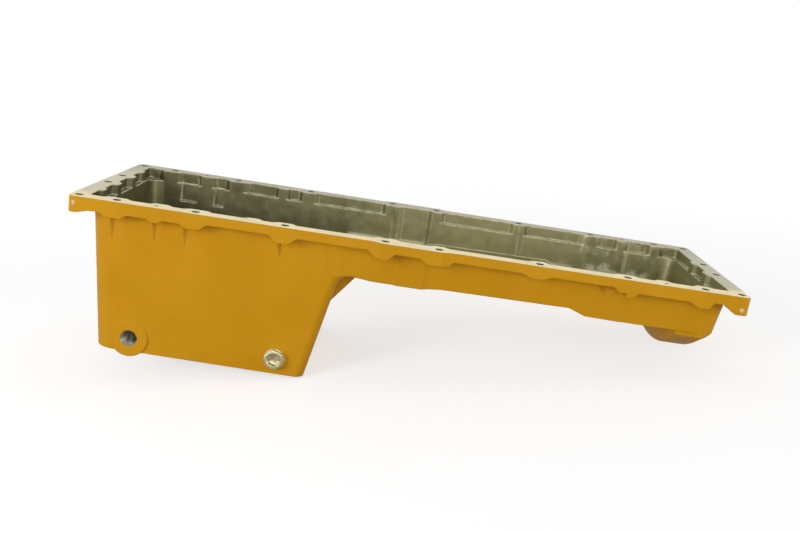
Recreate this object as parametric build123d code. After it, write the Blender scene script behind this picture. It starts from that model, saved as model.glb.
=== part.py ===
"""Cast aluminium engine oil pan: a long shallow tray, a deep sump at one end,
one drain plug with its sealing washer and one open drain port.

Millimetres.  +Z is up and the machined flange face is z = 0, with the origin
at the middle of the four corner bolt holes.  +X runs towards the shallow end
and -Y is the side with the two drain ports."""
import math
import os

from build123d import *

os.makedirs("parts", exist_ok=True)

# ------------------------------------------------------------ bolt pattern
HOLE_SPAN_X = 940.0
HOLE_SPAN_Y = 293.0
HALF_X = HOLE_SPAN_X / 2
HALF_Y = HOLE_SPAN_Y / 2
# half the width that cutting prisms reach, past the flange
REACH_Y = HALF_Y + 23.5
BOLT_D = 11.6
DOWEL_D = 5.2
DOWEL_DEPTH = 14.0
MID_SHIFT = 4.4
END_BOLT_Y = 32.5

# ------------------------------------------------------------------ flange
RAIL_T = 13.0
END_T = 16.0
EDGE_Y = 14.8
EDGE_X = 11.4
Y_RAIL = HALF_Y + EDGE_Y
X_END = HALF_X + EDGE_X
MID_OUT = 5.6
CORNER_R = 10.0
SKIRT_Y = 129.0
SKIRT_X = 452.0
# bolts along each long rail: x, shift outwards, length of the bore
RAIL_BOLTS = [
    (-HALF_X, 0.0, 23.0), (-418.3, 0.0, 25.0), (-309.7, 0.0, 24.0), (-185.2, 0.0, 25.0),
    (-43.7, MID_SHIFT, 25.0), (32.6, MID_SHIFT, 22.0), (176.8, 0.0, 21.0), (303.8, 0.0, 28.0),
    (416.9, 0.0, 27.0), (HALF_X, 0.0, 27.0)]
END_BORE = 24.0
DOWEL_X = (-364.2, 360.0)
# lower edge of the long rails, deeper at every bolt: x, z, blend radius
RAIL_SKIRT = [
    (-X_END, -23.0, 2.0), (-468.0, -22.5, 8.0), (-454.0, -18.5, 8.0), (-440.0, -17.6, 5.0),
    (-427.0, -23.5, 5.0), (-409.0, -23.5, 5.0), (-400.0, -17.2, 5.0), (-372.0, -17.2, 4.0),
    (-368.0, -21.5, 3.0), (-358.0, -21.5, 3.0), (-353.0, -17.2, 4.0), (-328.0, -17.2, 4.0),
    (-319.0, -22.5, 5.0), (-301.0, -22.5, 5.0), (-290.0, -13.5, 6.0), (-205.0, -13.5, 6.0),
    (-194.0, -23.5, 5.0), (-177.0, -23.5, 5.0), (-165.0, -13.5, 7.0), (-66.0, -13.5, 7.0),
    (-54.0, -23.0, 5.0), (-37.0, -23.0, 5.0), (-28.0, -13.5, 5.0), (8.0, -13.5, 5.0),
    (18.0, -20.5, 5.0), (48.0, -20.5, 4.0), (55.0, -13.5, 4.0), (153.0, -13.5, 8.0),
    (166.0, -19.0, 8.0), (184.0, -18.5, 8.0), (195.0, -13.5, 6.0), (284.0, -13.5, 5.0),
    (296.0, -22.5, 6.0), (308.0, -26.5, 4.0), (314.0, -24.0, 4.0), (320.0, -18.0, 4.0),
    (394.0, -18.0, 5.0), (408.0, -25.0, 5.0), (423.0, -25.0, 4.0), (429.0, -15.0, 5.0),
    (444.0, -15.0, 8.0), (461.0, -27.0, 8.0), (X_END, -27.0, 2.0)]
# lower edge of the end rails: y, z, blend radius, from the middle outwards
END_SKIRT = [(16.0, -END_T, 6.0), (23.0, -22.0, 5.0), (42.0, -22.0, 5.0), (49.0, -END_T, 6.0)]

# -------------------------------------------------- land, the inner edge
LAND_Y = 138.5
LAND_X0 = -459.5
LAND_X1 = 457.5
END_LEDGE_Z = -15.5
END_LAND_Y = 134.0
BUMP_R = 5.0
LEDGE_Z = -17.5

# ------------------------------------------------------------- body walls
WALL = 6.0
TOP_Z = -18.0
BURIED_Z = -8.0
OUTER_Y = HALF_Y - 3.5
OUTER_DRAFT = 0.048
TRAY_Y = 142.0
TRAY_DRAFT = 0.14
END_X0 = -457.3
END_X0_DRAFT = 0.068
END_X1 = 457.8
END_X1_DRAFT = 0.093
END_BLEND = 4.5
DEEP_CORNER = 28.0
SUMP_CORNER = 14.0
SHALLOW_CORNER = 18.0
INNER_Y = 131.0
INNER_DRAFT = 0.033
INNER_X0 = -451.3
INNER_X1 = 451.0
INNER_WAIST = 2.5
INNER_WAIST_X = 366.0
MID_X0 = -24.0
MID_X1 = 21.0
MID_STEP = 6.0
MID_STEP_OUT = 3.0
NARROW_X1 = 313.0
NARROW_X2 = 426.0
NARROW = 2.3
# underside of the shallow tray: x, z
TRAY_LOW = [(-60.0, -65.1), (15.0, -65.1), (44.0, -61.8), (232.0, -60.2), (257.0, -69.3),
            (330.0, -70.6), (440.0, -70.4), (480.0, -66.0)]
TRAY_T = 6.0

# -------------------------------------------------------------------- sump
SUMP_Z = -225.0
SUMP_FALL = 0.012
SUMP_LEVEL_X = -340.0
SUMP_FLOOR_T = 6.5
SUMP_X1 = -100.8
SUMP_X1_Z = -62.0
SUMP_LEAN = 0.2136
RAMP_HALF = 95.0
RAMP_TOP_X = -73.0
RAMP_FOOT = (-113.5, -116.0)
THROAT_R = 20.0
THROAT_X = -122.0
FADE_R = 34.0
FADE_TURN = 65.0
# the sump's side wall runs into the tray's: x, share of the way over
SHOULDER = [(-150.0, 0.0), (THROAT_X, 0.0), (-104.0, 0.3), (-88.0, 0.8), (-70.0, 1.0)]

# --------------------------------------------------------------- gear bowl
CRANK_Z = 100.0
BOWL = [(300.0, 170.0), (384.0, 204.0), (396.0, 219.8), (433.0, 219.8), (449.0, 211.0), (464.0, 186.0)]
BOWL_ROUND = 9.0
BOWL_FOOT_Z = -130.0
BOWL_T = 6.5

# ------------------------------------------------------------- drain ports
PORT_X = END_X0 + 65.4
PORT_Z = SUMP_Z + 21.5
PORT_STAND = 1.90400
PORT_FACE_Y = -(OUTER_Y + (PORT_Z - TOP_Z) * OUTER_DRAFT) - PORT_STAND
PORT_BOSS_R = 27.8
PLUG_X = SUMP_X1 - 78.7
PLUG_Z = SUMP_Z + 22.6
PLUG_STAND = 1.05120
PLUG_FACE_Y = -(OUTER_Y + (PLUG_Z - TOP_Z) * OUTER_DRAFT) - PLUG_STAND
PLUG_BOSS_R = 17.0
THREAD_R = 11.0
RUN_GAP = 0.05
PLUG_AF = 27.0
PLUG_HEAD_T = 6.5
PLUG_TURN = 20.8
SOCKET_AF = 17.0
SOCKET_DEPTH = 7.5
PLUG_THREAD_L = 16.0
WASHER_T = 1.5
WASHER_R = 15.2
ON_BASE = (Align.CENTER, Align.CENTER, Align.MIN)


def rounded_face(points, z=0.0):
    """Closed plan outline from (x, y, corner radius) points at height z."""
    count = len(points)
    corners = []
    for i, (x, y, radius) in enumerate(points):
        before = points[i - 1]
        after = points[(i + 1) % count]
        here = Vector(x, y, z)
        a = Vector(before[0], before[1], z) - here
        b = Vector(after[0], after[1], z) - here
        reach = 0.49 * min(a.length, b.length)
        a = a.normalized()
        b = b.normalized()
        half = math.acos(max(-1.0, min(1.0, a.dot(b)))) / 2
        radius = min(radius, reach * math.tan(half))
        if radius < 0.05 or half > math.pi / 2 - 0.01:
            corners.append((here, None, here))
            continue
        back = radius / math.tan(half)
        centre = here + (a + b).normalized() * (radius / math.sin(half))
        middle = centre - (a + b).normalized() * radius
        corners.append((here + a * back, middle, here + b * back))
    edges = []
    for i, (start, middle, end) in enumerate(corners):
        if middle is not None:
            edges.append(ThreePointArc(start, middle, end))
        following = corners[(i + 1) % count][0]
        if (following - end).length > 1e-6:
            edges.append(Line(end, following))
    return Face(Wire(edges))


def mirrored(points):
    """The -Y half of a plan outline followed by its mirror image."""
    return points + [(x, -y, r) for x, y, r in reversed(points)]


def drop(face, depth, lean=0.0):
    """Solid below a plan face that moves by lean along Y per millimetre down."""
    return extrude(face, amount=depth * math.hypot(1.0, lean), dir=(0.0, lean, -1.0))


def round_upright(solid, radius, x_low, x_high):
    """Round a solid's tall upright edges that stand between two x planes."""
    tall = [e for e in solid.edges() if e.bounding_box().size.Z > 30.0 and x_low < e.center().X < x_high]
    return fillet(tall, radius)


def side_prism(points, half_width):
    """Solid with an x-z outline across the whole width."""
    wire = Polyline([Vector(x, -half_width, z) for x, z in points], close=True)
    return extrude(Face(Wire(wire.edges())), amount=2 * half_width, dir=(0, 1, 0))


def cross_prism(points, x0, x1):
    """Solid with a y-z outline between two x planes."""
    wire = Polyline([Vector(x0, y, z) for y, z in points], close=True)
    return extrude(Face(Wire(wire.edges())), amount=x1 - x0, dir=(1, 0, 0))


def outer_y(z):
    """Half width of the sump walls at height z."""
    return OUTER_Y + (z - TOP_Z) * OUTER_DRAFT


def tray_y(z):
    """Half width of the tray walls at height z."""
    return TRAY_Y + (z - TOP_Z) * TRAY_DRAFT


def end_x0(z):
    """Deep end wall at height z."""
    return END_X0 - (z - TOP_Z) * END_X0_DRAFT


def end_x1(z):
    """Shallow end wall at height z."""
    return END_X1 + (z - TOP_Z) * END_X1_DRAFT


def sump_x1(z):
    """Leaning wall between the sump and the tray at height z."""
    return SUMP_X1 + (z - SUMP_X1_Z) * SUMP_LEAN


def inner_y(z):
    """Half width of the hollow below its ledge."""
    return INNER_Y + (z - LEDGE_Z) * INNER_DRAFT


def floor_at(x, level):
    """Height of the sump floor, which falls gently towards the drain plug."""
    return level - (x - SUMP_LEVEL_X) * SUMP_FALL


def sump_depth(level):
    """Outline of everything above the sump floor."""
    low, high = -500.0, -40.0
    return [(low, 0.0), (low, floor_at(low, level)), (high, floor_at(high, level)), (high, 0.0)]


# ------------------------------------------------------------------ flange
def flange_outline():
    """Flange plan: two straight rails, each with a swelling at the middle bolts."""
    out = Y_RAIL + MID_OUT
    return rounded_face(mirrored([
        (-X_END, -Y_RAIL, CORNER_R), (-60.0, -Y_RAIL, 10.0), (-46.0, -out, 10.0),
        (37.0, -out, 10.0), (50.0, -Y_RAIL, 10.0), (X_END, -Y_RAIL, CORNER_R)]))


def flange():
    """Flange plate whose lower edge swells down round every bolt."""
    plan = flange_outline()
    rail = rounded_face([(X_END, 0.0, 0.0), (-X_END, 0.0, 0.0)] + RAIL_SKIRT)
    rail = extrude(Rot(90, 0, 0) * rail, amount=40.0, dir=(0, -1, 0))
    outward = [(y, z, r) for y, z, r in END_SKIRT] + [(Y_RAIL, -END_T, 0.0)]
    across = [(-y, z, r) for y, z, r in reversed(outward)] + outward
    end = rounded_face([(Y_RAIL, 0.0, 0.0), (-Y_RAIL, 0.0, 0.0)] + across)
    end = extrude(Rot(0, 0, 90) * Rot(90, 0, 0) * end, amount=40.0, dir=(1, 0, 0))
    skirts = [Pos(0, -SKIRT_Y, 0) * rail, Pos(0, SKIRT_Y + 40.0, 0) * rail,
              Pos(SKIRT_X, 0, 0) * end, Pos(-SKIRT_X - 40.0, 0, 0) * end]
    body = drop(plan, RAIL_T)
    for skirt in skirts:
        body = body + (skirt & drop(plan, 30.0))
    return body


# -------------------------------------------------------------- outer form
def sump_outer():
    """Deep sump with leaning walls, rounded into the tray, its floor falling towards the plug."""
    foot = SUMP_Z - 4.0
    low = TRAY_LOW[0][1]
    turn = math.pi / 2 - math.atan(SUMP_LEAN)
    back = THROAT_R * math.tan(turn / 2)
    reach = THROAT_R / math.cos(turn / 2) - THROAT_R
    corner = Vector(sump_x1(low), 0, low)
    rise = Vector(SUMP_LEAN, 0, 1).normalized()
    along = Vector(1, 0, 0)
    from_lean = corner - rise * back
    to_tray = corner + along * back
    outline = Polyline([to_tray, Vector(to_tray.X, 0, low + 1.0), Vector(THROAT_X, 0, low + 1.0),
                        Vector(THROAT_X, 0, BURIED_Z), Vector(end_x0(BURIED_Z), 0, BURIED_Z),
                        Vector(end_x0(foot), 0, foot), Vector(sump_x1(foot), 0, foot), from_lean])
    curve = ThreePointArc(from_lean, corner + (along - rise).normalized() * reach, to_tray)
    profile = Pos(0, -REACH_Y, 0) * Face(Wire(outline.edges() + [curve]))
    sides = [(-outer_y(BURIED_Z), BURIED_Z), (-outer_y(foot), foot), (outer_y(foot), foot),
             (outer_y(BURIED_Z), BURIED_Z)]
    form = extrude(profile, amount=2 * REACH_Y, dir=(0, 1, 0)) & cross_prism(sides, -500.0, -40.0)
    form = round_upright(form, DEEP_CORNER, -480.0, -400.0)
    return form & side_prism(sump_depth(SUMP_Z), REACH_Y)


def corner_cove():
    """Cutter that rounds the edge from the leaning wall into the tray's underside and fades out."""
    low = TRAY_LOW[0][1]
    along = Vector(1, 0, 0)
    across = Vector(0, 1, 0)
    rise = Vector(SUMP_LEAN, -OUTER_DRAFT, 1).normalized()
    deep = (rise * rise.dot(along) - along).normalized()
    inward = (across - rise * rise.dot(across)).normalized()
    turn = rise.get_angle(along)
    back = THROAT_R * math.tan(math.radians(turn / 2))
    corner = Vector(sump_x1(low), -outer_y(low), low)
    start = corner - rise * back
    r = SUMP_CORNER
    clear = 3.0
    shortest = r * (1 - math.sqrt(0.5))
    points = [start + deep * a + inward * b for a, b in (
        (0.0, r), (-clear, r), (-clear, -clear), (r, -clear), (r, 0.0), (shortest, shortest))]
    arc = ThreePointArc(points[4], points[5], points[0])
    section = Face(Wire(Polyline(points[:5]).edges() + [arc]))
    bend = Axis(start - deep * THROAT_R, rise.cross(along))
    end = section.rotate(bend, turn)
    away = Axis(corner + along * back - across * FADE_R, (0, 0, -1))
    return (extrude(section, amount=190.0, dir=-rise) + revolve(section, axis=bend, revolution_arc=turn)
            + revolve(end, axis=away, revolution_arc=FADE_TURN))


def tray_plan(z):
    """Tray walls: the middle bay stands out, the shallow end narrows in two steps."""
    hy = tray_y(z)
    mid = hy + MID_STEP_OUT
    shoulder = [(x, -outer_y(z) + 0.15 + share * (outer_y(z) - 0.15 - hy), 0.0) for x, share in SHOULDER]
    return rounded_face(mirrored(shoulder + [
        (MID_X0 - 4, -hy, 0.0), (MID_X0 + 4, -mid, 0.0), (MID_X1 - 4, -mid, 0.0), (MID_X1 + 4, -hy, 0.0),
        (NARROW_X1 - 4, -hy, 0.0), (NARROW_X1 + 4, -hy + NARROW, 0.0), (NARROW_X2 - 5, -hy + NARROW, 0.0),
        (NARROW_X2 + 5, -hy + 2 * NARROW, 0.0), (end_x1(z), -hy + 2 * NARROW, 0.0)]), z)


def tray_outer():
    """Shallow tray with its stepped underside."""
    form = loft([tray_plan(BURIED_Z), tray_plan(-76.0)], ruled=True)
    form = round_upright(form, SHALLOW_CORNER, 440.0, 480.0)
    below = [(-150.0, 0.0), (-150.0, TRAY_LOW[0][1])] + TRAY_LOW + [(480.0, 0.0)]
    return form & side_prism(below, REACH_Y)


def end_blends():
    """Thickening of both end walls where they meet the flange."""
    foot = TOP_Z - END_BLEND
    deep = [(end_x0(foot) + 5.0, BURIED_Z), (end_x0(TOP_Z) - END_BLEND, BURIED_Z),
            (end_x0(TOP_Z) - END_BLEND, TOP_Z), (end_x0(foot), foot), (end_x0(foot) + 5.0, foot)]
    shallow = [(end_x1(foot) - 5.0, BURIED_Z), (end_x1(TOP_Z) + END_BLEND, BURIED_Z),
               (end_x1(TOP_Z) + END_BLEND, TOP_Z), (end_x1(foot), foot), (end_x1(foot) - 5.0, foot)]
    return (side_prism(deep, outer_y(TOP_Z) - DEEP_CORNER)
            + side_prism(shallow, tray_y(TOP_Z) - 2 * NARROW - SHALLOW_CORNER))


def ramp(inset):
    """Sloping return between the tray floor and the sump."""
    slide = inset * 1.55
    foot_x, foot_z = RAMP_FOOT
    return side_prism([(RAMP_TOP_X - slide, -60.0), (RAMP_TOP_X - slide, -64.0), (foot_x - slide, foot_z),
                       (-150.0, foot_z), (-150.0, -60.0)], RAMP_HALF - inset)


def bowl(inset, z_top, clear):
    """Round bowl that clears the crank gear, turned about the crank line."""
    rim = [Vector(x, 0, CRANK_Z - r + inset) for x, r in BOWL]
    outline = [Vector(BOWL[0][0], 0, CRANK_Z)] + rim + [Vector(BOWL[-1][0], 0, CRANK_Z)]
    section = Face(Wire(Polyline(outline, close=True).edges()))
    corners = [v for v in section.vertices() if v.Z < 0 and BOWL[0][0] + 1 < v.X < BOWL[-1][0] - 1]
    section = section.fillet_2d(BOWL_ROUND, corners)
    turned = revolve(section, axis=Axis((0, 0, CRANK_Z), (1, 0, 0)), revolution_arc=360)

    def plan(z):
        hy = tray_y(z) - inset - clear - 2 * NARROW
        x1 = end_x1(z) - inset - clear
        return rounded_face(mirrored([(BOWL[0][0] - 10.0, -hy, 0.0), (x1, -hy, 0.0)]), z)

    clip = loft([plan(z_top), plan(BOWL_FOOT_Z)], ruled=True)
    return turned & round_upright(clip, SHALLOW_CORNER - clear, 430.0, 480.0)


# ------------------------------------------------------------- the hollow
def bumps(items, base, r=BUMP_R):
    """Edge points with inward bumps (centre, half flat, half foot, inner value)."""
    points = []
    for centre, flat, foot, inner in items:
        points += [(centre - foot, base, 0.0), (centre - flat, inner, r),
                   (centre + flat, inner, r), (centre + foot, base, 0.0)]
    return points


DEEP_BUMPS = [(-421.0, 12.0, 20.0, INNER_Y), (-360.0, 9.0, 16.0, INNER_Y), (-309.0, 12.0, 20.0, INNER_Y),
              (-231.0, 7.0, 13.0, INNER_Y), (-186.5, 10.0, 17.0, INNER_Y)]
SHALLOW_BUMPS = [(177.5, 9.0, 16.0, INNER_Y), (304.0, 11.0, 20.0, INNER_Y),
                 (358.0, 7.0, 13.0, INNER_Y), (417.0, 8.0, 15.0, INNER_Y - INNER_WAIST)]
DEEP_END_BUMPS = [(-90.0, 6.0, 12.0, LAND_X0 + 5.5), (-34.0, 8.0, 15.0, INNER_X0),
                  (34.0, 8.0, 15.0, INNER_X0), (90.0, 6.0, 12.0, LAND_X0 + 5.5)]
SHALLOW_END_BUMPS = [(-END_BOLT_Y, 9.0, 16.0, INNER_X1), (END_BOLT_Y, 9.0, 16.0, INNER_X1)]
MID_Y = INNER_Y + MID_STEP


def land_opening():
    """The land's scalloped inner edge, which swells in at each bolt."""
    middle = [(-60.0, LAND_Y, 0.0), (-54.0, INNER_Y, 5.0), (MID_X0 - 5, INNER_Y, 0.0),
              (MID_X0 + 2, MID_Y, 0.0), (MID_X1 - 2, MID_Y, 0.0), (MID_X1 + 5, INNER_Y, 0.0),
              (40.0, INNER_Y, 5.0), (48.0, LAND_Y, 0.0)]
    rail = bumps(DEEP_BUMPS, LAND_Y) + middle + bumps(SHALLOW_BUMPS, LAND_Y)
    rail[-1] = (rail[-1][0], END_LAND_Y, 0.0)
    near = [(LAND_X0, -LAND_Y, 7.0)] + [(x, -y, r) for x, y, r in rail] + [(LAND_X1, -END_LAND_Y, 6.0)]
    shallow_end = [(x, y, 4.0) for y, x, r in bumps(SHALLOW_END_BUMPS, LAND_X1)]
    far = [(x, -y, r) for x, y, r in reversed(near)]
    deep_end = [(x, y, 4.0) for y, x, r in reversed(bumps(DEEP_END_BUMPS, LAND_X0))]
    return rounded_face(near + shallow_end + far + deep_end)


def inner_tray_plan(z):
    """Inside of the tray, its middle bay set outwards."""
    hy = inner_y(z)
    end = INNER_X1 + (z - LEDGE_Z) * END_X1_DRAFT
    return rounded_face(mirrored([
        (-160.0, -hy, 0.0), (MID_X0 - 5, -hy, 0.0), (MID_X0 + 2, -hy - MID_STEP, 0.0),
        (MID_X1 - 2, -hy - MID_STEP, 0.0), (MID_X1 + 5, -hy, 0.0), (INNER_WAIST_X, -hy, 0.0),
        (INNER_WAIST_X + 5.0, -hy + INNER_WAIST, 0.0), (end, -hy + INNER_WAIST, 0.0)]), z)


def sump_inner():
    """Inside of the sump down to its falling floor."""
    rise = (SUMP_Z - LEDGE_Z) * END_X0_DRAFT
    ends = [(INNER_X0, LEDGE_Z), (INNER_X0 - rise, SUMP_Z), (sump_x1(SUMP_Z) - WALL, SUMP_Z),
            (sump_x1(LEDGE_Z) - WALL, LEDGE_Z)]
    sides = [(-inner_y(LEDGE_Z), LEDGE_Z), (-inner_y(SUMP_Z), SUMP_Z), (inner_y(SUMP_Z), SUMP_Z),
             (inner_y(LEDGE_Z), LEDGE_Z)]
    form = side_prism(ends, REACH_Y) & cross_prism(sides, -500.0, -40.0)
    form = round_upright(form, DEEP_CORNER - WALL, -480.0, -400.0)
    form = round_upright(form, SUMP_CORNER - WALL, -160.0, -60.0)
    return form & side_prism(sump_depth(SUMP_Z + SUMP_FLOOR_T), REACH_Y)


def tray_inner():
    """Inside of the shallow tray down to its floor."""
    form = loft([inner_tray_plan(LEDGE_Z), inner_tray_plan(-72.0)], ruled=True)
    form = round_upright(form, SHALLOW_CORNER - 2.0, 430.0, 480.0)
    floor = [(x, z + TRAY_T) for x, z in TRAY_LOW]
    return form & side_prism([(-170.0, 0.0), (-170.0, floor[0][1])] + floor + [(480.0, 0.0)], REACH_Y)


# deep recesses between the bolt columns of the sump: x from, x to, depth
RECESSES = [(-401.0, -373.0, 46.0), (-345.0, -329.0, 46.5)]


def recess(x0, x1, depth, side):
    """Recess in the wall below the land, its floor sloping inwards."""
    return cross_prism([(side * 120.0, -4.0), (side * 138.0, -4.0), (side * 135.5, -depth),
                        (side * 120.0, -depth - 3.0)], x0, x1)


# ribs down the inside of the walls: x, plan centre, radius
RIBS = [(-35.0, 135.5, 7.5), (182.0, 133.5, 5.0)]


def hollow():
    """Everything that is open inside the casting."""
    opening = land_opening()
    deep = drop(opening, -LEDGE_Z) & Pos((INNER_X0 + INNER_X1) / 2, 0, LEDGE_Z / 2) * Box(
        INNER_X1 - INNER_X0, 2 * HALF_Y + 7.0, -LEDGE_Z + 2.0)
    form = drop(opening, -END_LEDGE_Z) + deep + sump_inner() + tray_inner()
    form = form + ramp(WALL) + bowl(BOWL_T, -50.0, 4.0)
    for x0, x1, depth in RECESSES:
        form = form + recess(x0, x1, depth, -1) + recess(x0, x1, depth, 1)
    for x, y, radius in RIBS:
        for side in (-1, 1):
            form = form - Pos(x, side * y, -37.0) * Cylinder(radius, 76.0)
    return form


# ------------------------------------------------------------- machining
# sloping slots up the outside of the walls for the bolt heads: x, half width at the back, back y, top
POCKETS = [(-415.5, 7.5, 136.6, 23.0), (-359.5, 5.0, 137.2, 21.0), (-316.5, 5.0, 137.0, 22.0),
           (-187.8, 0.8, 136.2, 23.0)]
POCKET_LEAN = 0.125
V_LEAN = 0.2
# tapering scoop beside the deepest bolt boss: x, plan centre, radii, top, height
SCOOP = (281.0, 159.5, 23.0, 10.0, 20.0, 40.0)
PORT_DEPTH = 40.0


def pocket(x, half, back, top, lean, side):
    """Slot with sloping sides that leans outwards until it runs out of the wall."""
    out = 156.0
    reach = half + out - back
    corners = [(x - reach, out), (x - half, back), (x + half, back), (x + reach, out)]
    plan = Polyline([Vector(px, side * py, -top) for px, py in corners], close=True)
    return drop(Face(Wire(plan.edges())), 60.0, side * lean)


def wall_cuts():
    """Pockets and scoops of both long walls."""
    x, y, wide, narrow, top, height = SCOOP
    cuts = []
    for side in (-1, 1):
        cuts += [pocket(px, half, back, z0, V_LEAN if half < 1.0 else POCKET_LEAN, side)
                 for px, half, back, z0 in POCKETS]
        cuts.append(Pos(x, side * y, -top - height / 2) * Cone(narrow, wide, height))
    return cuts


def along_y(x, y, z, radius, length):
    """Round bar from (x, y, z) towards +Y."""
    return Pos(x, y, z) * Rot(-90, 0, 0) * extrude(Circle(radius), length)


def bores():
    """Bolt holes, dowel holes and the two tapped ports."""
    holes = [Pos(x, side * END_BOLT_Y, 1.0 - END_BORE / 2) * Cylinder(BOLT_D / 2, END_BORE)
             for x in (-HALF_X, HALF_X) for side in (-1, 1)]
    for side in (-1, 1):
        holes += [Pos(x, side * (HALF_Y + shift), 1.0 - (depth + 2.0) / 2) * Cylinder(BOLT_D / 2, depth + 2.0)
                  for x, shift, depth in RAIL_BOLTS]
        dowel = Pos(0, side * HALF_Y, -DOWEL_DEPTH / 2) * Cylinder(DOWEL_D / 2, DOWEL_DEPTH)
        holes += [Pos(x, 0, 0) * dowel for x in DOWEL_X]
    mouth = Rot(-90, 0, 0) * Cone(THREAD_R + 1.5, THREAD_R, 1.5, align=ON_BASE)
    holes.append(along_y(PORT_X, PORT_FACE_Y - 1.0, PORT_Z, THREAD_R, PORT_DEPTH))
    holes.append(Pos(PORT_X, PORT_FACE_Y, PORT_Z) * mouth)
    holes.append(along_y(PLUG_X, PLUG_FACE_Y - 1.0, PLUG_Z, THREAD_R, PORT_DEPTH))
    return holes


def pan_casting():
    """The whole casting, machined."""
    cove = corner_cove()
    body = sump_outer() + tray_outer() - cove - mirror(cove, about=Plane.XZ)
    body = body + flange() + end_blends() + ramp(0.0) + bowl(0.0, -40.0, 0.0)
    for cut in wall_cuts():
        body = body - cut
    boss = along_y(PORT_X, PORT_FACE_Y, PORT_Z, PORT_BOSS_R, 32.0)
    boss = chamfer(boss.edges().sort_by(Axis.Y)[0], 1.0)
    stud = along_y(PLUG_X, PLUG_FACE_Y, PLUG_Z, PLUG_BOSS_R, 22.0)
    body = (body - hollow()) + boss + stud
    for hole in bores():
        body = body - hole
    return body


# -------------------------------------------------------- plug and washer
def drain_plug():
    """Hexagon plug with a hexagon socket, its head on the outside of the wall."""
    seat = PLUG_FACE_Y - WASHER_T
    turn = Pos(PLUG_X, seat, PLUG_Z) * Rot(-90, 0, 0)
    head = turn * Pos(0, 0, -PLUG_HEAD_T) * extrude(
        RegularPolygon(PLUG_AF / 2, 6, major_radius=False, rotation=PLUG_TURN), PLUG_HEAD_T)
    top = Pos(PLUG_X, seat - PLUG_HEAD_T, PLUG_Z) * Rot(-90, 0, 0)
    crown = top * Cone(PLUG_AF / 2 - 0.4, PLUG_AF / 2 + 9.0, 5.5, align=ON_BASE)
    crown = crown + turn * extrude(Circle(PLUG_AF), -1.5)
    head = head & crown
    shank = turn * extrude(Circle(THREAD_R - RUN_GAP), PLUG_THREAD_L)
    shank = chamfer(shank.edges().sort_by(Axis.Y)[-1], 1.2)
    hexagon = RegularPolygon(SOCKET_AF / 2, 6, major_radius=False, rotation=PLUG_TURN)
    socket = top * extrude(hexagon, SOCKET_DEPTH)
    flare = top * Cone(SOCKET_AF / 2 + 2.0, SOCKET_AF / 2, 2.0, align=ON_BASE)
    return head + shank - socket - flare


def sealing_washer():
    ring = along_y(PLUG_X, PLUG_FACE_Y - WASHER_T, PLUG_Z, WASHER_R, WASHER_T)
    return ring - along_y(PLUG_X, PLUG_FACE_Y - WASHER_T - 1.0, PLUG_Z, THREAD_R + 0.2, WASHER_T + 2.0)


for name, solid in (("pan_casting", pan_casting()), ("drain_plug", drain_plug()),
                    ("sealing_washer", sealing_washer())):
    export_step(solid, f"parts/{name}.step")
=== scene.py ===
"""Looks of the cast engine oil pan: amber enamel outside, bare casting inside,
a machined flange face, tapped ports and a bare metal drain plug."""

import math

import bmesh
import bpy
from mathutils import Euler, Matrix, Vector


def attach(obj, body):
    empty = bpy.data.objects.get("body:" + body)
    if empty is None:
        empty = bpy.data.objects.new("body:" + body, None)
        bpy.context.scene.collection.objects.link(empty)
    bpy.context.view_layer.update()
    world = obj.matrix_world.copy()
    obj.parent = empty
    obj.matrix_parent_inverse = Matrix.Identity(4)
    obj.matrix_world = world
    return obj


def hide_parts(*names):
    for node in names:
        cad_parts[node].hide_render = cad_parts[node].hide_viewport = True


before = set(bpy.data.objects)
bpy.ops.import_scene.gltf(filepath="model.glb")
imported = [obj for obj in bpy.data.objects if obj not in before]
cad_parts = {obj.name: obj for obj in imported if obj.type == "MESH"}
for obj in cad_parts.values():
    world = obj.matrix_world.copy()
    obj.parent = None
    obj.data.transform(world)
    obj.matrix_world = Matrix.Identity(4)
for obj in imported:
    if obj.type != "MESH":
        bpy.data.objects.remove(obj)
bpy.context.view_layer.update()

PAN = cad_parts["pan_casting"]
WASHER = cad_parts["sealing_washer"]

# ---------------------------------------------------------- ports and plug
# all lengths are metres; the ports' axes run along Y: x, z
PORT = (-0.3919, -0.2035)
PLUG_PORT = (-0.1795, -0.2024)
PORT_FACE_Y = -0.136
PORT_END_Y = -0.100
PORT_CHAMFER = 0.0016
THREAD_R = 0.011
THREAD_PITCH = 0.0015
THREAD_DEPTH = 0.0009
SKIN_GAP = 0.00005
PLUG_AF = 0.027
PLUG_SEAT_Y = -0.1367
PLUG_FACE_Y = -0.1432
PLUG_TIP_Y = -0.1207
PLUG_TURN = math.radians(20.8)
CROWN_CUT = 0.0004
CROWN_SLOPE = 0.585
SOCKET_AF = 0.017
SOCKET_DEPTH = 0.0075
SOCKET_FLARE = 0.002
SMOOTH_BELOW = math.radians(32.0)

# ------------------------------------------------- regions of the casting
LAND_Z = -0.0003
FLANGE_FOOT_Z = -0.0162
# the middle of each wall's thickness: its place above the draft, and its shift per metre of height
DRAFT_TOP_Z = -0.018
DEEP_END_WALL = (-0.4543, -0.068)
SHALLOW_END_WALL = (0.4544, 0.093)
SIDE_WALL = (0.1392, 0.05)
# the inside's reach in X at the flange, where its end ledges are
LEDGE_X = (-0.4605, 0.459)
OUTSIDE_Y = 0.08
# bolt bores: the strips that they lie in, along the rails and across the ends
BOLT_FOOT_Z = -0.021
RAIL_BAND = (0.1405, 0.157)
END_BAND = (0.4635, 0.4765)
END_BAND_Y = 0.152
# tapped bores: as far round their axes, and from the face to here
TAPPED_R = 0.0127
TAPPED_Y = -0.09
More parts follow.
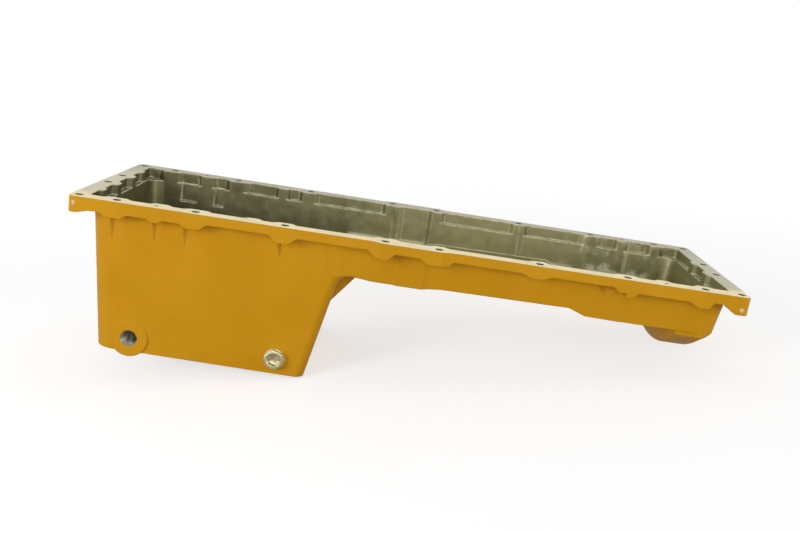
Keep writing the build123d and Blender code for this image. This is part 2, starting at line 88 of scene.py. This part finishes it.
# chipped paint and painted glints on the flange's ears, and sand burnt onto the inside: place,
# reach
CHIPS_AND_GLINTS = [((-0.474, -0.1669, -0.009), 0.014), ((0.470, -0.1669, -0.019), 0.014)]
CRUSTS = [((0.312, 0.125, -0.062), 0.030), ((0.335, 0.125, -0.060), 0.032),
          ((0.352, 0.125, -0.064), 0.026), ((0.385, 0.123, -0.064), 0.030),
          ((0.405, 0.123, -0.062), 0.028)]
# painted highlight in pale stretches along the bottom of the tray's walls: from x, to x
LIT_FOOT_STRETCHES = [(-0.114, -0.052), (-0.023, 0.019), (0.225, 0.280)]
FOOT_Z = -0.0555
FOOT_Y = 0.112
# a mottled stretch under the flange at the shallow end: from x, to x
MOTTLED_X = (0.288, 0.45)
MOTTLED_Z = -0.032

# ---------------------------------------------------------------- colours
AMBER = (0.572, 0.273, 0.0050, 1)
LIGHT_AMBER = (0.612, 0.297, 0.0080, 1)
AMBER_PATCH = (0.50, 0.200, 0.0050, 1)
# pale of the ears' spots: partly chipped paint, partly painted glint
CHIPPED_AND_GLINT = (0.86, 0.80, 0.66, 1)
# oxide colours for the inside, one with painted shade for the sump and one with painted light for
# the shallow end
OXIDE_SHADED_SUMP = [(0.190, 0.177, 0.090, 1), (0.215, 0.200, 0.104, 1)]
OXIDE_LIT_SHALLOW_END = [(0.285, 0.265, 0.135, 1), (0.325, 0.303, 0.160, 1)]
OXIDE_STAIN = (0.42, 0.40, 0.26, 1)
# pale edge colour: partly wear, partly painted highlight
RUBBED_AND_HIGHLIGHT = (0.86, 0.82, 0.62, 1)
# pale colour of a painted highlight along the walls' bottom
FOOT_HIGHLIGHT = (0.56, 0.53, 0.36, 1)
MOTTLE = (0.60, 0.57, 0.42, 1)
BURNT_SAND = (0.62, 0.59, 0.45, 1)
MILLED_NEAR_RAIL = [(0.90, 0.79, 0.45, 1), (0.80, 0.70, 0.39, 1)]
MILLED_ENDS = [(0.62, 0.58, 0.39, 1), (0.47, 0.455, 0.31, 1)]
MILLED_FAR = (0.40, 0.38, 0.255, 1)
MILLED_CLOUD = (0.70, 0.66, 0.48, 1)
DRILLED = [(0.22, 0.20, 0.14, 1), (0.36, 0.33, 0.24, 1)]
CUT_THREAD = [(0.24, 0.22, 0.16, 1), (0.46, 0.43, 0.32, 1)]
PLUG_STEEL = [(0.45, 0.415, 0.23, 1), (0.62, 0.575, 0.34, 1)]
PLUG_STAIN = (0.20, 0.17, 0.09, 1)
# painted highlight along the plug's edges
PLUG_EDGE_HIGHLIGHT = (0.66, 0.60, 0.38, 1)
WASHER_METAL = [(0.66, 0.60, 0.40, 1), (0.78, 0.72, 0.52, 1)]

# ------------------------------------------------------- camera and studio
LENS = 39.375
SENSOR = 36.0
SHIFT = (-0.0383, 0.00665)
CAMERA_AT = (-0.0307, -1.3449, 0.2698)
AZIMUTH = math.radians(-2.696)
ELEVATION = math.radians(14.244)
ROLL = math.radians(9.244)
FLOOR_TILT = math.radians(9.3)
FLOOR_AT = (-0.14, 0.0, -0.2305)
FLOOR_REACH = 6.0
FLOOR_GREY = (0.50, 0.50, 0.50, 1)
# the floor's own glow, as the camera and as mirrors see it, and where it fades out
FLOOR_GLOW = 0.66
FLOOR_GLOW_MIRRORED = 0.25
FLOOR_FADE = (0.8, 1.9)
AMBIENT = 0.32
AIM = (0, 0, -0.05)
# name, place, size, power
LIGHTS = [("key_left", (-1.70, -1.55, 0.36), 0.9, 21.0),
          ("front_right", (1.90, -0.75, 0.16), 0.8, 15.0),
          ("overhead", (0.1, 0.1, 1.7), 1.4, 3.0),
          ("front", (0.2, -2.3, 0.50), 1.2, 12.5),
          ("back_left", (-1.3, 1.9, 0.16), 1.2, 10.0),
          ("back_right", (1.2, 1.9, 0.16), 1.2, 10.0)]
# lamps that stand further back than this only fill the far side
BEHIND_Y = 1.0


# ------------------------------------------------------------------ nodes
class Graph:
    """A material's node tree with short ways to add maths and textures."""

    def __init__(self, name):
        self.material = bpy.data.materials.new(name)
        self.material.use_nodes = True
        self.tree = self.material.node_tree
        self.tree.nodes.clear()
        self.out = self.tree.nodes.new("ShaderNodeOutputMaterial")
        coords = self.tree.nodes.new("ShaderNodeTexCoord")
        self.place = coords.outputs["Object"]
        self.x, self.y, self.z = self.split(self.place)
        true_normal = self.tree.nodes.new("ShaderNodeNewGeometry").outputs["True Normal"]
        self.nx, self.ny, self.nz = self.split(true_normal)

    def node(self, kind, **settings):
        """A new node with its settings."""
        made = self.tree.nodes.new(kind)
        for key, value in settings.items():
            setattr(made, key, value)
        return made

    def put(self, socket, value):
        """Links a socket to another one, or sets its number or colour."""
        if isinstance(value, bpy.types.NodeSocket):
            self.tree.links.new(value, socket)
        else:
            socket.default_value = value

    def split(self, vector):
        """The three parts of a vector."""
        made = self.node("ShaderNodeSeparateXYZ")
        self.put(made.inputs[0], vector)
        return made.outputs[:3]

    def math(self, operation, *values):
        """One maths node."""
        made = self.node("ShaderNodeMath", operation=operation)
        for socket, value in zip(made.inputs, values):
            self.put(socket, value)
        return made.outputs[0]

    def chain(self, operation, values):
        """One operation over any number of values."""
        total = values[0]
        for value in values[1:]:
            total = self.math(operation, total, value)
        return total

    def add(self, *values):
        """Their sum."""
        return self.chain("ADD", values)

    def mul(self, *values):
        """Their product."""
        return self.chain("MULTIPLY", values)

    def every(self, *tests):
        """1 where all tests hold."""
        return self.mul(*tests)

    def either(self, *tests):
        """1 where any test holds."""
        return self.chain("MAXIMUM", tests)

    def above(self, value, limit):
        """1 above the limit."""
        return self.math("GREATER_THAN", value, limit)

    def below(self, value, limit):
        """1 below the limit."""
        return self.math("LESS_THAN", value, limit)

    def between(self, value, low, high):
        """1 between the limits."""
        return self.every(self.above(value, low), self.below(value, high))

    def size(self, value):
        """A number without its sign."""
        return self.math("ABSOLUTE", value)

    def flip(self, value):
        """1 for 0 and 0 for 1."""
        return self.math("SUBTRACT", 1.0, value)

    def ramp(self, value, low, high):
        """0 below low, 1 above high, smooth between."""
        made = self.node("ShaderNodeMapRange", interpolation_type="SMOOTHSTEP")
        for name, item in (("Value", value), ("From Min", low), ("From Max", high)):
            self.put(made.inputs[name], item)
        return made.outputs["Result"]

    def noise(self, scale, detail=3.0, roughness=0.55, stretch=(1, 1, 1)):
        """Cloudy pattern from 0 to 1 that stays on the piece."""
        mapping = self.node("ShaderNodeMapping")
        self.put(mapping.inputs["Vector"], self.place)
        mapping.inputs["Scale"].default_value = stretch
        made = self.node("ShaderNodeTexNoise")
        self.put(made.inputs["Vector"], mapping.outputs[0])
        made.inputs["Scale"].default_value = scale
        made.inputs["Detail"].default_value = detail
        made.inputs["Roughness"].default_value = roughness
        return made.outputs["Fac"]

    def mix(self, share, first, second):
        """Colour between first and second."""
        made = self.node("ShaderNodeMix", data_type="RGBA")
        for name, item in (("Factor", share), ("A", first), ("B", second)):
            sockets = [s for s in made.inputs if s.name == name and s.enabled]
            self.put(sockets[0], item)
        return [s for s in made.outputs if s.enabled][0]

    def blend(self, share, first, second):
        """Plain number between first and second."""
        return self.add(self.mul(self.flip(share), first), self.mul(share, second))

    def distance(self, x, z):
        """Distance from an axis along Y."""
        dx = self.add(self.x, -x)
        dz = self.add(self.z, -z)
        return self.math("SQRT", self.add(self.mul(dx, dx), self.mul(dz, dz)))

    def near(self, spots):
        """1 at each spot, fading to 0 at its radius."""
        shares = []
        for at, radius in spots:
            made = self.node("ShaderNodeVectorMath", operation="DISTANCE")
            self.put(made.inputs[0], self.place)
            made.inputs[1].default_value = at
            shares.append(self.flip(self.ramp(made.outputs["Value"], 0.0, radius)))
        return self.either(*shares)

    def soft_edges(self, radius):
        """Normal that rounds the edges by a radius."""
        made = self.node("ShaderNodeBevel", samples=4)
        made.inputs["Radius"].default_value = radius
        return made.outputs[0]

    def edges(self, radius, low, high):
        """1 on and beside an edge, 0 on open surface."""
        rounded = self.soft_edges(radius)
        flat = self.node("ShaderNodeNewGeometry").outputs["True Normal"]
        made = self.node("ShaderNodeVectorMath", operation="DOT_PRODUCT")
        self.put(made.inputs[0], rounded)
        self.put(made.inputs[1], flat)
        return self.flip(self.ramp(made.outputs["Value"], 1.0 - high, 1.0 - low))

    def bump(self, height, distance, strength=1.0, normal=None):
        """Normal with a fine relief on it."""
        made = self.node("ShaderNodeBump")
        self.put(made.inputs["Height"], height)
        made.inputs["Distance"].default_value = distance
        self.put(made.inputs["Strength"], strength)
        if normal is not None:
            self.put(made.inputs["Normal"], normal)
        return made.outputs[0]

    def shader(self, color, roughness, normal=None, metallic=0.0, **fixed):
        """Principled shader; fixed numbers go straight onto its sockets."""
        made = self.node("ShaderNodeBsdfPrincipled")
        self.put(made.inputs["Base Color"], color)
        self.put(made.inputs["Roughness"], roughness)
        self.put(made.inputs["Metallic"], metallic)
        if normal is not None:
            self.put(made.inputs["Normal"], normal)
        for name, value in fixed.items():
            made.inputs[name.replace("_", " ")].default_value = value
        return made.outputs[0]

    def mix_shaders(self, share, first, second):
        """Surface between first and second."""
        made = self.node("ShaderNodeMixShader")
        self.put(made.inputs[0], share)
        self.put(made.inputs[1], first)
        self.put(made.inputs[2], second)
        return made.outputs[0]

    def finish(self, surface):
        """The material, with this surface."""
        self.put(self.out.inputs["Surface"], surface)
        return self.material


def dress(piece, material):
    """Gives a piece one material all over."""
    piece.data.materials.clear()
    piece.data.materials.append(material)


# ------------------------------------------------- regions of the casting
def inside_mask(g, ay, outward, land):
    """Everything within the middle of the walls that doesn't face out or down."""
    deep = g.math("MINIMUM", g.add(g.z, -DRAFT_TOP_Z), 0.0)
    flange_zone = g.above(g.z, FLANGE_FOOT_Z)

    def mid_wall(wall):
        at, draft = wall
        return g.add(g.mul(deep, draft), at)

    within = g.every(
        g.below(ay, mid_wall(SIDE_WALL)),
        g.above(g.x, g.blend(flange_zone, mid_wall(DEEP_END_WALL), LEDGE_X[0])),
        g.below(g.x, g.blend(flange_zone, mid_wall(SHALLOW_END_WALL), LEDGE_X[1])))
    faces_down = g.below(g.nz, -0.03)
    faces_side = g.every(g.above(outward, 0.02), g.above(ay, OUTSIDE_Y))
    faces_out = g.every(g.either(faces_down, faces_side), g.flip(flange_zone))
    return g.every(within, g.flip(faces_out), g.flip(land))


def bore_mask(g, ax, ay):
    """The bolt bores' walls and the tapped ports."""
    upright = g.below(g.size(g.nz), 0.01)
    on_rail = g.every(g.between(ay, *RAIL_BAND), g.below(ax, END_BAND[1]))
    on_end = g.every(g.between(ax, *END_BAND), g.below(ay, END_BAND_Y))
    bolt_bores = g.every(upright, g.above(g.z, BOLT_FOOT_Z), g.either(on_rail, on_end))
    boss_face = g.below(g.ny, -0.9)
    tapped = [g.every(g.below(g.distance(x, z), TAPPED_R), g.below(g.y, TAPPED_Y),
                      g.flip(boss_face)) for x, z in (PORT, PLUG_PORT)]
    return g.either(bolt_bores, *tapped)


def region_masks(g):
    """Machined faces, the bare inside and the bores, as 0 or 1 over the casting."""
    ax = g.size(g.x)
    ay = g.size(g.y)
    outward = g.mul(g.ny, g.math("SIGN", g.y))
    land = g.every(g.above(g.z, LAND_Z), g.above(g.nz, 0.7))
    return land, inside_mask(g, ay, outward, land), bore_mask(g, ax, ay)


# -------------------------------------------------------------- materials
def paint(g):
    """Amber enamel over a sand cast skin, with a few pale spots on the ears that are partly
    chipped paint and partly painted glints.
    """
    broad = g.noise(7.0, 2.0)
    patch = g.noise(38.0, 3.0)
    grain = g.noise(620.0, 3.0, 0.6)
    swell = g.noise(30.0, 1.5, 0.4)
    tone = g.mix(g.ramp(broad, 0.35, 0.65), AMBER, LIGHT_AMBER)
    color = g.mix(g.mul(g.ramp(patch, 0.5, 0.8), 0.16), tone, AMBER_PATCH)
    # pale spots on the ears: partly chipped paint, partly painted glints
    chips_and_glints = g.above(g.add(g.near(CHIPS_AND_GLINTS), g.noise(700.0, 2.0, 0.7)), 1.12)
    color = g.mix(chips_and_glints, color, CHIPPED_AND_GLINT)
    rough = g.blend(g.ramp(patch, 0.3, 0.7), 0.34, 0.44)
    normal = g.soft_edges(0.0014)
    normal = g.bump(swell, 0.0018, 0.35, normal)
    normal = g.bump(grain, 0.00018, 0.5, normal)
    return g.shader(color, rough, normal, Specular_IOR_Level=0.12)


def bare_casting(g):
    """Olive oxide on the unpainted inside, with painted shade in the sump and painted light
    towards the shallow end, pale along its edges as partly worn metal and partly painted
    highlight, with sand burnt on.
    """
    broad = g.noise(14.0, 3.0)
    stain = g.noise(60.0, 4.0, 0.6)
    grain = g.noise(700.0, 3.0, 0.65)
    swell = g.noise(55.0, 2.0, 0.5)
    speck = g.noise(330.0, 4.0, 0.7)

    # painted shade and painted light: darker in the sump, lighter towards the shallow end
    deep = g.mix(g.ramp(broad, 0.3, 0.7), *OXIDE_SHADED_SUMP)
    shallow = g.mix(g.ramp(broad, 0.3, 0.7), *OXIDE_LIT_SHALLOW_END)
    tone = g.mix(g.ramp(g.x, -0.35, 0.15), deep, shallow)
    color = g.mix(g.mul(g.ramp(stain, 0.55, 0.8), 0.3), tone, OXIDE_STAIN)

    # pale colour on and beside the edges: partly wear, partly painted highlight
    rubbed_and_highlight = g.mul(g.edges(0.003, 0.02, 0.16), g.ramp(g.add(stain, speck), 0.75, 1.15))
    color = g.mix(rubbed_and_highlight, color, RUBBED_AND_HIGHLIGHT)

    # painted highlight along the bottom of the walls
    foot_highlight = g.either(*[g.between(g.x, low, high) for low, high in LIT_FOOT_STRETCHES])
    foot_highlight = g.every(foot_highlight, g.below(g.z, FOOT_Z), g.above(g.size(g.y), FOOT_Y))
    color = g.mix(g.mul(foot_highlight, 0.6), color, FOOT_HIGHLIGHT)

    mottle = g.every(g.between(g.x, *MOTTLED_X), g.above(g.z, MOTTLED_Z))
    mottle = g.mul(mottle, g.ramp(g.add(g.mul(stain, 0.5), g.mul(speck, 0.5)), 0.50, 0.62))
    color = g.mix(g.mul(mottle, 0.55), color, MOTTLE)

    crust = g.add(g.mul(g.near(CRUSTS), 0.42), g.mul(stain, 0.5), g.mul(speck, 0.75))
    crust = g.ramp(crust, 0.80, 0.98)
    color = g.mix(crust, color, BURNT_SAND)

    rough = g.blend(g.ramp(stain, 0.3, 0.7), 0.36, 0.50)
    rough = g.blend(crust, rough, 0.8)
    normal = g.soft_edges(0.0030)
    normal = g.bump(swell, 0.0007, 0.5, normal)
    normal = g.bump(grain, 0.0003, 0.5, normal)
    normal = g.bump(speck, 0.0010, g.mul(crust, 0.9), normal)
    return g.shader(color, rough, normal, metallic=g.blend(crust, 0.85, 0.0))


def machined_land(g):
    """Milled aluminium with faint cutter marks, lighter along the near rail and darker towards the
    far rail and shallow end.
    """
    marks = g.noise(260.0, 2.0, 0.5, stretch=(0.35, 1.0, 1.0))
    cloud = g.noise(22.0, 3.0)
    near_rail_tone = g.mix(g.ramp(cloud, 0.3, 0.7), *MILLED_NEAR_RAIL)
    ends = g.mix(g.ramp(g.x, -0.4, 0.4), *MILLED_ENDS)
    far_tone = g.mix(g.ramp(g.y, 0.02, 0.14), ends, MILLED_FAR)
    far_tone = g.mix(g.mul(g.ramp(cloud, 0.4, 0.7), 0.2), far_tone, MILLED_CLOUD)
    color = g.mix(g.ramp(g.add(g.y, g.mul(cloud, 0.02)), -0.130, -0.100), near_rail_tone, far_tone)
    rough = g.blend(marks, 0.34, 0.48)
    normal = g.bump(marks, 0.00006, 0.5)
    return g.shader(color, rough, normal, metallic=0.6)


def machined_bore(g):
    """Drilled and tapped walls."""
    color = g.mix(g.noise(900.0, 2.0), *DRILLED)
    return g.shader(color, 0.38, metallic=0.8)


def casting_material():
    """Paint, bare inside, land and bores, each in its region."""
    g = Graph("painted_casting")
    land, inside, bores = region_masks(g)
    surface = g.mix_shaders(inside, paint(g), bare_casting(g))
    surface = g.mix_shaders(land, surface, machined_land(g))
    return g.finish(g.mix_shaders(bores, surface, machined_bore(g)))


def thread_material():
    """Cut thread, grey with oil."""
    g = Graph("cut_thread")
    cloud = g.noise(500.0, 3.0)
    color = g.mix(cloud, *CUT_THREAD)
    return g.finish(g.shader(color, 0.36, g.bump(cloud, 0.00005, 0.4), metallic=0.85))


def plug_material():
    """Dull steel, oiled and a little stained, with a painted highlight along its edges."""
    g = Graph("plug_steel")
    cloud = g.noise(260.0, 3.0)
    stain = g.noise(70.0, 4.0, 0.6)
    color = g.mix(cloud, *PLUG_STEEL)
    color = g.mix(g.mul(g.ramp(stain, 0.5, 0.7), 0.5), color, PLUG_STAIN)
    # painted highlight: lighter colour on and beside the plug's edges
    color = g.mix(g.edges(0.0010, 0.03, 0.2), color, PLUG_EDGE_HIGHLIGHT)
    normal = g.bump(cloud, 0.0001, 0.4, g.soft_edges(0.0005))
    return g.finish(g.shader(color, g.blend(stain, 0.28, 0.46), normal, metallic=0.8))


def washer_material():
    """Soft pale metal."""
    g = Graph("washer_metal")
    cloud = g.noise(300.0, 3.0)
    color = g.mix(cloud, *WASHER_METAL)
    return g.finish(g.shader(color, 0.4, g.bump(cloud, 0.0001, 0.4), metallic=0.7))


# ---------------------------------------------------------------- threads
def polar(centre, radius, angle, y):
    """A point round an axis along Y."""
    return (centre[0] + radius * math.cos(angle), y, centre[1] + radius * math.sin(angle))


def skin_of_rings(name, rings, closed_ends):
    """Smooth mesh through rings of equal point count."""
    shape = bmesh.new()
    rows = [[shape.verts.new(p) for p in ring] for ring in rings]
    for one, two in zip(rows, rows[1:]):
        for i in range(len(one)):
            j = (i + 1) % len(one)
            shape.faces.new((one[i], one[j], two[j], two[i]))
    if closed_ends:
        shape.faces.new(rows[0])
        shape.faces.new(list(reversed(rows[-1])))
    else:
        for i in range(len(rows[0])):
            j = (i + 1) % len(rows[0])
            shape.faces.new((rows[-1][i], rows[-1][j], rows[0][j], rows[0][i]))
    bmesh.ops.recalc_face_normals(shape, faces=shape.faces)
    mesh = bpy.data.meshes.new(name)
    shape.to_mesh(mesh)
    shape.free()
    mesh.polygons.foreach_set("use_smooth", [True] * len(mesh.polygons))
    mesh.set_sharp_from_angle(angle=SMOOTH_BELOW)
    piece = bpy.data.objects.new(name, mesh)
    bpy.context.scene.collection.objects.link(piece)
    return piece


def flank(turn):
    """Height of a sharp thread's flank, 0 at the root and 1 at the crest, over one turn."""
    return min(1.0, max(0.0, 2.6 * (0.5 - abs((turn % 1.0) - 0.5)) - 0.15))


def thread_rings(centre, y0, y1, root, crest, steps=64, per_turn=6):
    """Rings along Y whose radius follows a helical thread, plain at both ends."""
    count = int((y1 - y0) / THREAD_PITCH * per_turn)
    rings = []
    for k in range(count + 1):
        y = y0 + (y1 - y0) * k / count
        fade = min(1.0, min(k, count - k) / per_turn)
        ring = []
        for i in range(steps):
            angle = 2 * math.pi * i / steps
            high = flank((y - y0) / THREAD_PITCH + i / steps)
            ring.append(polar(centre, root + (crest - root) * high * fade, angle, y))
        rings.append(ring)
    return rings


def ring_of(centre, radius, y, steps=64):
    """Plain circle of points."""
    return [polar(centre, radius, 2 * math.pi * i / steps, y) for i in range(steps)]


def add_port_thread():
    """Internal thread of the open port."""
    wall = THREAD_R - SKIN_GAP
    start_y = PORT_FACE_Y + PORT_CHAMFER
    rings = [ring_of(PORT, wall, PORT_END_Y), ring_of(PORT, wall, start_y)]
    rings += thread_rings(PORT, start_y + 0.0001, PORT_END_Y - 0.0002,
                          THREAD_R - 0.00012, THREAD_R - THREAD_DEPTH)
    piece = skin_of_rings("port_thread", rings, closed_ends=False)
    dress(piece, thread_material())
    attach(piece, "pan")


def hexagon(flats, angle):
    """Distance from the middle to a hexagon's edge in one direction."""
    third = math.pi / 3
    return flats / 2 / math.cos((angle + PLUG_TURN) % third - third / 2)


def add_plug():
    """Hexagon plug with its thread cut and its socket broached."""
    steps = 96
    angles = [2 * math.pi * i / steps - PLUG_TURN for i in range(steps)]
    crown = PLUG_AF / 2 - CROWN_CUT
    flare = SOCKET_AF / 2 + SOCKET_FLARE
    bottom = PLUG_FACE_Y + SOCKET_DEPTH

    def ring(radius_at, y_at):
        return [polar(PLUG_PORT, radius_at(a), a, y_at(a)) for a in angles]

    def outer(a):
        return hexagon(PLUG_AF, a)

    def socket(a):
        return hexagon(SOCKET_AF, a)

    def fixed(value):
        return lambda a: value

    def turned_thread(one):
        """A thread's ring with its points in the head's directions."""
        radii = [math.hypot(p[0] - PLUG_PORT[0], p[2] - PLUG_PORT[1]) for p in one]
        return [polar(PLUG_PORT, radius, a, p[1]) for radius, p, a in zip(radii, one, angles)]

    socket_and_head = [
        ring(fixed(0.0008), fixed(bottom + 0.0006)),
        ring(lambda a: 0.93 * socket(a), fixed(bottom)),
        ring(socket, fixed(bottom - 0.0004)),
        ring(socket, lambda a: PLUG_FACE_Y + flare - socket(a)),
        ring(fixed(flare), fixed(PLUG_FACE_Y)),
        ring(fixed(crown), fixed(PLUG_FACE_Y)),
        ring(outer, lambda a: PLUG_FACE_Y + CROWN_SLOPE * (outer(a) - crown)),
        ring(outer, fixed(PLUG_SEAT_Y))]
    neck = [
        ring(fixed(THREAD_R - 0.0006), fixed(PLUG_SEAT_Y)),
        ring(fixed(THREAD_R - 0.0011), fixed(PLUG_SEAT_Y + 0.0006))]
    thread = thread_rings(PLUG_PORT, PLUG_SEAT_Y + 0.0016, PLUG_TIP_Y - 0.0008,
                          THREAD_R - THREAD_DEPTH - SKIN_GAP, THREAD_R - 0.00008, steps=steps)
    tip = ring(fixed(THREAD_R - 0.0018), fixed(PLUG_TIP_Y))
    rings = socket_and_head + neck + [turned_thread(one) for one in thread] + [tip]
    piece = skin_of_rings("drain_plug_threaded", rings, closed_ends=True)
    dress(piece, plug_material())
    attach(piece, "plug")
    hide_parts("drain_plug")


# ------------------------------------------------------- camera and stage
def add_camera():
    """Camera at the pose from which the pan was seen; the pan lay tipped on its sump edge."""
    back = Vector((math.sin(AZIMUTH) * math.cos(ELEVATION),
                   -math.cos(AZIMUTH) * math.cos(ELEVATION), math.sin(ELEVATION)))
    level = Vector((0, 0, 1)).cross(back).normalized()
    upright = back.cross(level)
    right = math.cos(ROLL) * level + math.sin(ROLL) * upright
    up = -math.sin(ROLL) * level + math.cos(ROLL) * upright
    turn = Matrix((right, up, back)).transposed().to_4x4()
    data = bpy.data.cameras.new("view")
    data.sensor_width = SENSOR
    data.lens = LENS
    data.shift_x, data.shift_y = SHIFT
    data.clip_end = 20.0
    camera = bpy.data.objects.new("view", data)
    camera.matrix_world = Matrix.Translation(CAMERA_AT) @ turn
    bpy.context.scene.collection.objects.link(camera)
    bpy.context.scene.camera = camera


def floor_material():
    """Pale and plain, with the shadow on it, fading out into the white around it."""
    g = Graph("floor")
    path = g.node("ShaderNodeLightPath")
    mirrored = g.either(path.outputs["Is Glossy Ray"], path.outputs["Is Transmission Ray"])
    seen = g.add(g.mul(path.outputs["Is Camera Ray"], FLOOR_GLOW),
                 g.mul(mirrored, FLOOR_GLOW_MIRRORED))
    diffuse = g.node("ShaderNodeBsdfDiffuse")
    diffuse.inputs["Color"].default_value = FLOOR_GREY
    glow = g.node("ShaderNodeEmission")
    g.put(glow.inputs["Strength"], seen)
    both = g.node("ShaderNodeAddShader")
    g.put(both.inputs[0], diffuse.outputs[0])
    g.put(both.inputs[1], glow.outputs[0])
    radius = g.math("SQRT", g.add(g.mul(g.x, g.x), g.mul(g.y, g.y)))
    clear = g.node("ShaderNodeBsdfTransparent").outputs[0]
    return g.finish(g.mix_shaders(g.ramp(radius, *FLOOR_FADE), both.outputs[0], clear))


def add_floor():
    """Floor under the sump's low edge and the bowl, level for the camera."""
    mesh = bpy.data.meshes.new("floor")
    shape = bmesh.new()
    bmesh.ops.create_grid(shape, x_segments=1, y_segments=1, size=FLOOR_REACH)
    shape.to_mesh(mesh)
    shape.free()
    floor = bpy.data.objects.new("floor", mesh)
    floor.rotation_euler = Euler((0, -FLOOR_TILT, 0))
    floor.location = FLOOR_AT
    bpy.context.scene.collection.objects.link(floor)
    dress(floor, floor_material())


def add_light(name, at, size, power):
    """Square soft lamp that looks at the pan."""
    data = bpy.data.lights.new(name, "AREA")
    data.shape = "SQUARE"
    data.size = size
    data.energy = power
    light = bpy.data.objects.new(name, data)
    light.location = at
    light.rotation_euler = (Vector(at) - Vector(AIM)).to_track_quat("Z", "Y").to_euler()
    light.visible_glossy = at[1] < BEHIND_Y
    bpy.context.scene.collection.objects.link(light)


def add_world():
    """White to the eye and in reflections, softer as a lamp."""
    world = bpy.data.worlds.new("studio")
    world.use_nodes = True
    tree = world.node_tree
    path = tree.nodes.new("ShaderNodeLightPath")
    ground = tree.nodes["Background"]
    ground.inputs["Color"].default_value = (1, 1, 1, 1)
    seen = path.outputs["Is Camera Ray"]
    for other in ("Is Glossy Ray", "Is Transmission Ray"):
        both = tree.nodes.new("ShaderNodeMath")
        both.operation = "MAXIMUM"
        tree.links.new(seen, both.inputs[0])
        tree.links.new(path.outputs[other], both.inputs[1])
        seen = both.outputs[0]
    strength = tree.nodes.new("ShaderNodeMapRange")
    strength.inputs["To Min"].default_value = AMBIENT
    strength.inputs["To Max"].default_value = 1.0
    tree.links.new(seen, strength.inputs["Value"])
    tree.links.new(strength.outputs["Result"], ground.inputs["Strength"])
    bpy.context.scene.world = world


add_camera()
add_world()
add_floor()
for name, at, size, power in LIGHTS:
    add_light(name, at, size, power)

dress(PAN, casting_material())
dress(WASHER, washer_material())
add_port_thread()
add_plug()

scene = bpy.context.scene
scene.view_settings.view_transform = "Standard"
